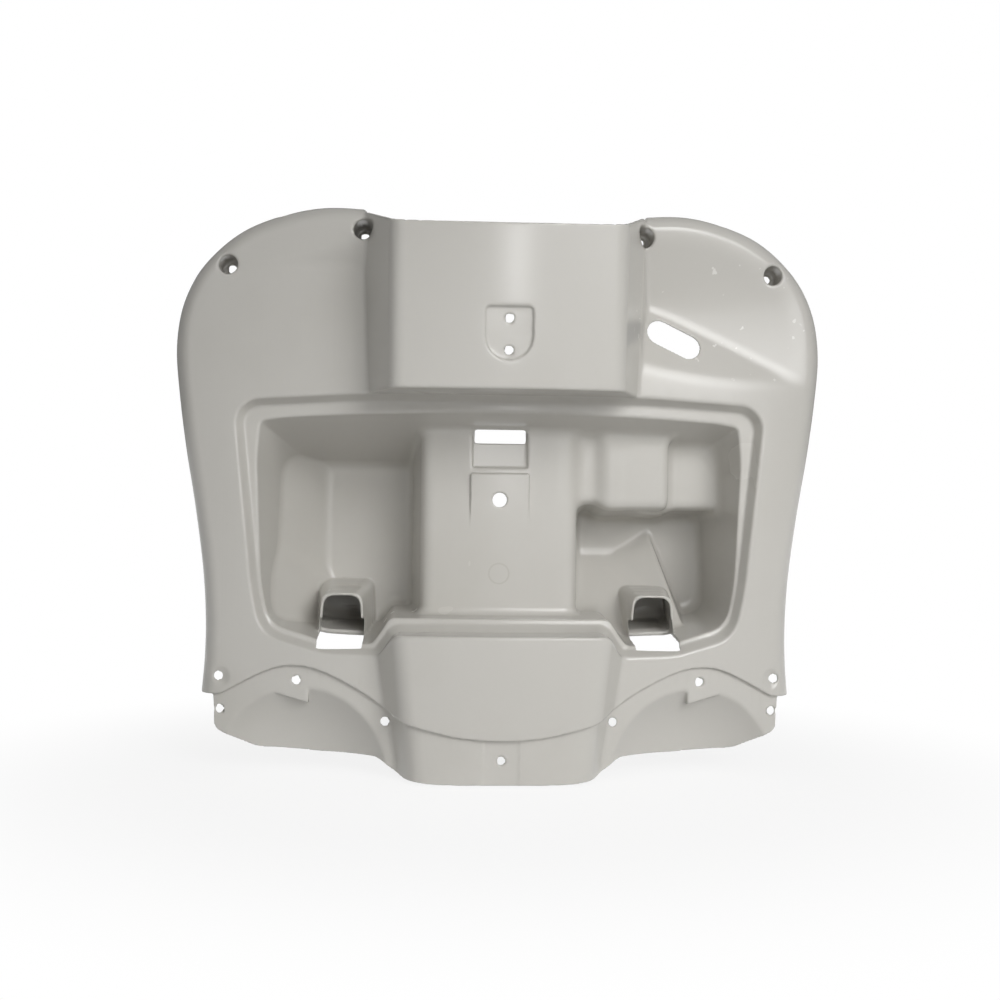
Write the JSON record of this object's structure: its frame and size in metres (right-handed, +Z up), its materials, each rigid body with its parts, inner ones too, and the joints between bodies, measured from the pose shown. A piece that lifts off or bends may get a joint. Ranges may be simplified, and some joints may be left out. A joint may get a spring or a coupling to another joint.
{
  "type": "scooter front glove box",
  "caption": "One-piece moulded inner leg shield of a scooter with an open glove box divided by the steering column cover, a key switch recess and screw holes.",
  "frame": {"origin": "centre of the bolt hole on the pad of the steering column cover inside the box, on the pad's face", "axes": "+X to the rider's right, +Y away from the rider towards the front of the scooter, +Z up"},
  "size_m": [0.482, 0.1879, 0.413],
  "materials": {
    "shield_plastic": "light warm grey gloss moulding"
  },
  "bodies": {
    "root": {"leg_shield": "shield_plastic"}
  },
  "joints": []
}
